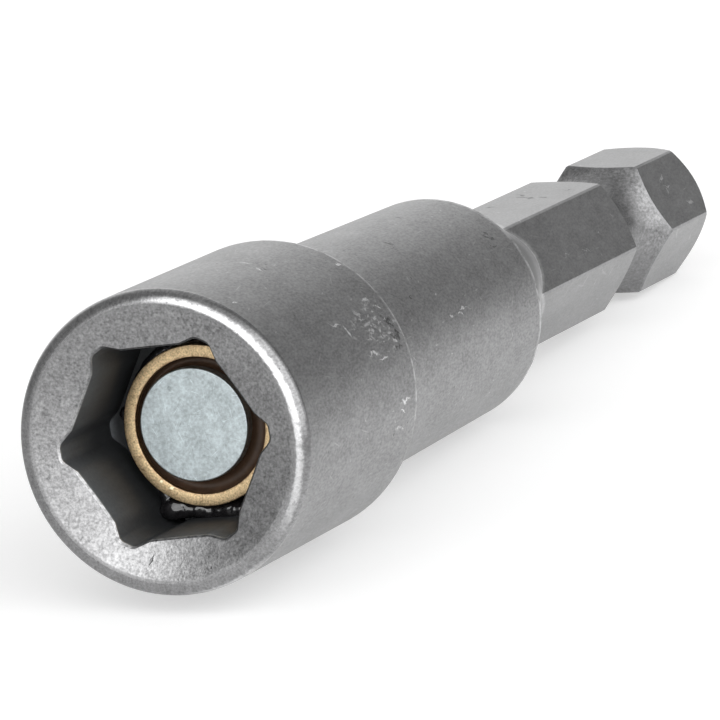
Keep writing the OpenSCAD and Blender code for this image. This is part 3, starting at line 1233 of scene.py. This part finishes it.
@dataclass(frozen=True)
class Plating:
    """Pale bluish plating of the magnet, clouded and finely scratched."""

    colour: Colour = (0.51, 0.57, 0.585)
    roughness: float = 0.42
    scratches: Scatter = Scatter(0.6, 0.5, 0.5, 0.025)
    dark_scratches: Scatter = Scatter(0.5, 0.4, 0.4, 0.025)
    spot: Mark = ((-1.26, 1.65), 20, 0.17, 0.17)

    def material(self) -> bpy.types.Material:
        """Builds the material."""
        plating = Surface("magnet_plating", 1.0, self.roughness)
        cloud, grain = plating.noise(0.8, 4), plating.noise(0.14, 3)
        sheet = (plating.x, plating.z)
        tone = plating.tone((cloud, 0.8), (grain, 1.0)) + plating.scuffs(sheet, self.scratches) * 0.3
        tone = tone - plating.scuffs(aside(sheet, 9), self.dark_scratches) * 0.25
        tone = tone - plating.mark(sheet, self.spot) * 0.32 - plating.pits(0.5, 0.14, 0.08) * 0.25
        plating.relief(grain * 0.004)
        return plating.paint(plating.colour(self.colour, tone), self.roughness + (cloud - 0.5) * 0.2)


@dataclass(frozen=True)
class Resin:
    """Dark resin or glue, with its shine at 0.5 for plain resin."""

    name: str
    colour: Colour
    roughness: float
    shine: float = 0.5

    def material(self) -> bpy.types.Material:
        """Builds the material."""
        resin = Surface(self.name, 0.0, self.roughness)
        resin.feed(resin.shader.inputs["Specular IOR Level"], self.shine)
        mottle = resin.noise(0.4, 2)
        resin.relief(resin.noise(0.3, 2) * 0.015)
        colour = resin.colour(self.colour, 0.5 + mottle)
        return resin.paint(colour, self.roughness + (mottle - 0.5) * 0.1)


@dataclass
class Studio:
    """The floor, the surroundings and the lamps. Sizes are metres, and the fades are millimetres."""

    ambient: float = 0.6
    left_card: Panel = Panel(-66, 33, 52, 60, 0.36)
    back_card: Panel = Panel(154, 33, 20, 60, 0.3, 16)
    back_fill: Panel = Panel(104, 15, 30, 30, 0.95, 16)
    back_reflector: Panel = Panel(-145, 8, 26, 24, 1.25, 36)
    front_softbox: Panel = Panel(43, 19, 68, 38, 2.0)
    low_softbox: Panel = Panel(31, 6, 24, 12, 2.6)
    key_azimuth: float = -12
    key_elevation: float = 14
    key_distance: float = 0.5
    key_size: float = 0.14
    key_level: float = 1.1
    glint_size: float = 0.045
    glint_level: float = 10.0
    floor_size: float = 6.0
    floor_grey: float = 0.65
    floor_roughness: float = 0.9
    floor_lift: float = 0.45
    left_fade: Station = (-30, 14)
    right_fade: Station = (50, 8)

    def build(self, body: SocketBody, shank: HexShank) -> None:
        """Sets the whole studio round the tool."""
        sky = Sky(self.ambient)
        sides = (self.left_card, self.back_fill, self.back_card, self.back_reflector)
        for panel in (*sides, self.front_softbox, self.low_softbox):
            sky.hang(panel)
        self._floor(body, shank)
        self._lamp("key_lamp", self.key_size, self.key_level)
        self._lamp("glint_lamp", self.glint_size, self.glint_level)

    def _floor(self, body: SocketBody, shank: HexShank) -> None:
        """A pale floor under the head's rear edge and the shank's end, where the lying tool rests."""
        rise = (body.head_radius - shank.flat) / (shank.end - body.head_length)
        bpy.ops.object.select_all(action="DESELECT")
        bpy.ops.mesh.primitive_plane_add(
            size=self.floor_size,
            location=(0, body.head_length * MM, -body.head_radius * MM),
            rotation=(math.atan(rise), 0, 0),
        )
        floor = bpy.context.object
        floor.name = "floor"
        paper = Surface("pale_floor", 0.0, self.floor_roughness)
        rays = paper.add("ShaderNodeLightPath").outputs
        mirrored = Signal(paper, rays["Is Glossy Ray"]).most(Signal(paper, rays["Is Transmission Ray"]))
        near = paper.x.rise(*self.left_fade) * paper.x.rise(*self.right_fade)
        seen = Signal(paper, rays["Is Camera Ray"]).most(mirrored * near)
        glow = paper.blend(seen, BLACK, WHITE)
        grey = self.floor_grey
        for name, value in (
            ("Base Color", (grey, grey, grey, 1.0)),
            ("Emission Color", glow),
            ("Emission Strength", self.floor_lift),
        ):
            paper.feed(paper.shader.inputs[name], value)
        floor.data.materials.append(paper.material)

    def _lamp(self, name: str, size: float, level: float) -> None:
        """A square lamp in front, at the left of the camera, that faces the tool's middle."""
        light = bpy.data.lights.new(name, "AREA")
        light.size = size
        light.energy = level * math.pi * size ** 2
        lamp = put(name, light)
        low, high = CAD_BOX
        away = outward(self.key_azimuth, self.key_elevation)
        lamp.location = (low + high) / 2 + away * self.key_distance
        lamp.rotation_euler = away.to_track_quat("Z", "Y").to_euler()
        lamp.visible_camera = False


@dataclass
class PictureCamera:
    """The camera at the photograph's viewing angle. Sizes are millimetres and degrees."""

    aim: tuple[float, float, float] = (0.22, 23.68, -0.46)
    azimuth: float = 20.737
    elevation: float = 9.727
    distance: float = 328.85
    roll: float = -2.14
    lens: float = 361.2
    sensor: float = 36
    nearest: float = 10

    def build(self) -> None:
        """Makes the camera and gives it to the scene."""
        data = bpy.data.cameras.new("picture_camera")
        data.lens = self.lens
        data.sensor_width = self.sensor
        data.clip_start = self.nearest * MM
        camera = put("picture_camera", data)
        back = outward(self.azimuth, self.elevation)
        facing = back.to_track_quat("Z", "Y").to_matrix().to_4x4()
        place = Matrix.Translation((Vector(self.aim) + back * self.distance) * MM)
        camera.matrix_world = place @ facing @ Matrix.Rotation(math.radians(self.roll), 4, "Z")
        bpy.context.scene.camera = camera
        bpy.context.scene.view_settings.view_transform = "Standard"


def hand_over(piece: bpy.types.Object, node: str) -> None:
    """Lets a finished piece ride on the tool's body in place of the solid that it shows."""
    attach(piece, BODY)
    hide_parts(node)
    LOG.info("%s: %d faces, in place of %s", piece.name, len(piece.data.polygons), node)


def main() -> None:
    """Models and dresses every piece, then sets the studio and the camera."""
    logging.basicConfig(level=logging.INFO, format="%(name)s at %(relativeCreated)d ms: %(message)s")
    body, shank, unit = SocketBody(), HexShank(), MagnetUnit()
    brown = Resin("brown_resin", (0.06, 0.032, 0.017), roughness=0.55)
    black = Resin("black_glue", (0.012, 0.011, 0.012), roughness=0.1, shine=1.0)
    for made, material, node, slot in (
        (body.build(), BlastedSteel().material(body), "socket_body", "socket_steel"),
        (shank.build(), DrawnSteel().material(shank), "hex_shank", "shank_steel"),
        (unit.sleeve(), Brass().material(unit), "magnet_sleeve", "sleeve_brass"),
        (unit.magnet(), Plating().material(), "magnet", "magnet_plating"),
        (unit.resin(), brown.material(), "potting_ring", "potting"),
        (unit.glue(), black.material(), "adhesive_bead", "adhesive"),
    ):
        made.data.materials.append(material)
        hand_over(made, node)
    Studio().build(body, shank)
    PictureCamera().build()


if __name__ == "__main__":
    main()
